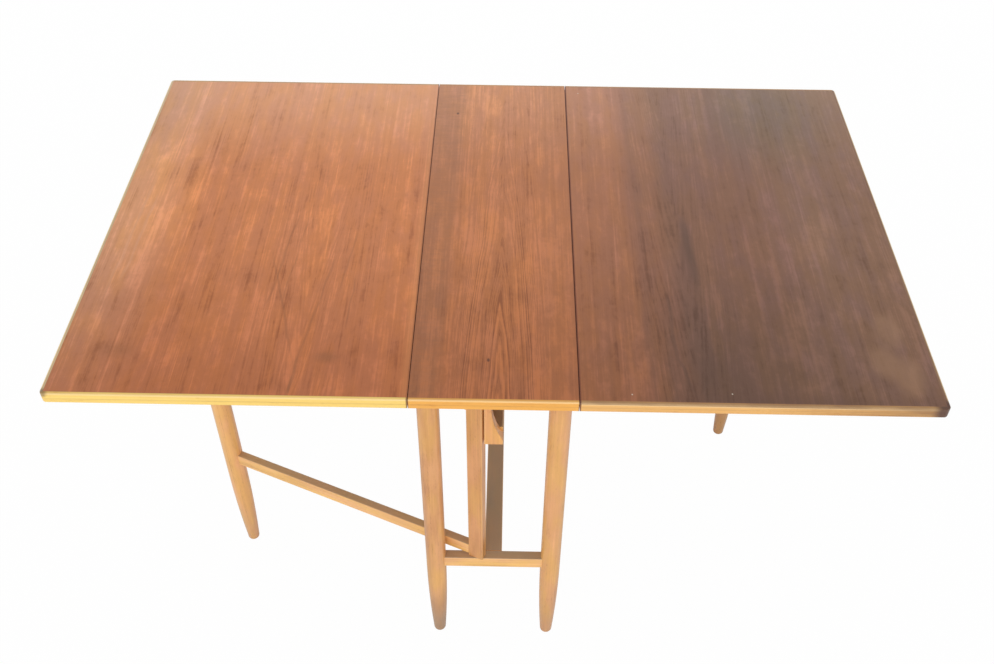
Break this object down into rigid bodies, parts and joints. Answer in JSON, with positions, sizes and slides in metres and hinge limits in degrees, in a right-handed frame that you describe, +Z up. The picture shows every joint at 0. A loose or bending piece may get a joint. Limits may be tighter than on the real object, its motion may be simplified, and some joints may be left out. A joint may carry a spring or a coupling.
{
  "type": "folding gate-leg dining table",
  "caption": "Drop-leaf table with a narrow fixed board, wide hinged leaves and a swinging gate with a turned leg under each leaf; light lipping round a dark veneered top.",
  "frame": {"origin": "on the floor, under the middle of the open top", "axes": "+X along the open top towards the right leaf, +Y away from the front, +Z up"},
  "size_m": [1.284, 0.824, 0.712],
  "materials": {
    "teak_veneer": "satin oiled teak veneer, grain from front to back",
    "beech_lipping": "satin lacquered solid beech",
    "backed_board": "plain matt backing veneer",
    "beech_frame": "satin lacquered solid beech",
    "brass_hinges": "plain rolled brass",
    "steel_screws": "bright steel",
    "steel_pins": "drawn steel"
  },
  "bodies": {
    "base": {"centre_board": "backed_board", "centre_veneer": "teak_veneer", "centre_front_lipping": "beech_lipping", "centre_back_lipping": "beech_lipping", "front_left_leg": "beech_frame", "front_right_leg": "beech_frame", "back_left_leg": "beech_frame", "back_right_leg": "beech_frame", "front_lower_cross_rail": "beech_frame", "back_lower_cross_rail": "beech_frame", "front_upper_cross_rail": "beech_frame", "back_upper_cross_rail": "beech_frame", "lower_long_rail": "beech_frame", "upper_long_rail": "beech_frame", "front_hanger_block": "beech_frame", "back_hanger_block": "beech_frame", "top_fixing_screws": "steel_screws", "centre_hinge_screws": "steel_screws", "left_front_hinge_fixed_flap": "brass_hinges", "left_front_hinge_pin": "steel_pins", "left_middle_hinge_fixed_flap": "brass_hinges", "left_middle_hinge_pin": "steel_pins", "left_back_hinge_fixed_flap": "brass_hinges", "left_back_hinge_pin": "steel_pins", "right_front_hinge_fixed_flap": "brass_hinges", "right_front_hinge_pin": "steel_pins", "right_middle_hinge_fixed_flap": "brass_hinges", "right_middle_hinge_pin": "steel_pins", "right_back_hinge_fixed_flap": "brass_hinges", "right_back_hinge_pin": "steel_pins"},
    "left_leaf": {"left_leaf_board": "backed_board", "left_leaf_veneer": "teak_veneer", "left_leaf_front_lipping": "beech_lipping", "left_leaf_back_lipping": "beech_lipping", "left_leaf_end_lipping": "beech_lipping", "left_leaf_hinge_screws": "steel_screws", "left_front_hinge_leaf_flap": "brass_hinges", "left_middle_hinge_leaf_flap": "brass_hinges", "left_back_hinge_leaf_flap": "brass_hinges"},
    "right_leaf": {"right_leaf_board": "backed_board", "right_leaf_veneer": "teak_veneer", "right_leaf_front_lipping": "beech_lipping", "right_leaf_back_lipping": "beech_lipping", "right_leaf_end_lipping": "beech_lipping", "right_leaf_hinge_screws": "steel_screws", "right_front_hinge_leaf_flap": "brass_hinges", "right_middle_hinge_leaf_flap": "brass_hinges", "right_back_hinge_leaf_flap": "brass_hinges"},
    "left_gate": {"left_gate_stile": "beech_frame", "left_gate_leg": "beech_frame", "left_gate_upper_rail": "beech_frame", "left_gate_lower_rail": "beech_frame", "left_gate_top_pin": "steel_pins", "left_gate_bottom_pin": "steel_pins"},
    "right_gate": {"right_gate_stile": "beech_frame", "right_gate_leg": "beech_frame", "right_gate_upper_rail": "beech_frame", "right_gate_lower_rail": "beech_frame", "right_gate_top_pin": "steel_pins", "right_gate_bottom_pin": "steel_pins"}
  },
  "joints": [
    {"name": "left_leaf_hinge", "type": "hinge", "parent": "base", "child": "left_leaf", "pos_m": [-0.1215, 0, 0.694], "axis": [0, 1, 0], "range_deg": [0, 2]},
    {"name": "right_leaf_hinge", "type": "hinge", "parent": "base", "child": "right_leaf", "pos_m": [0.1215, 0, 0.694], "axis": [0, -1, 0], "range_deg": [0, 2]},
    {"name": "left_gate_swing", "type": "hinge", "parent": "base", "child": "left_gate", "pos_m": [-0.0278, -0.347, 0], "axis": [0, 0, -1], "range_deg": [0, 66]},
    {"name": "right_gate_swing", "type": "hinge", "parent": "base", "child": "right_gate", "pos_m": [0.0278, 0.347, 0], "axis": [0, 0, -1], "range_deg": [0, 66]}
  ]
}
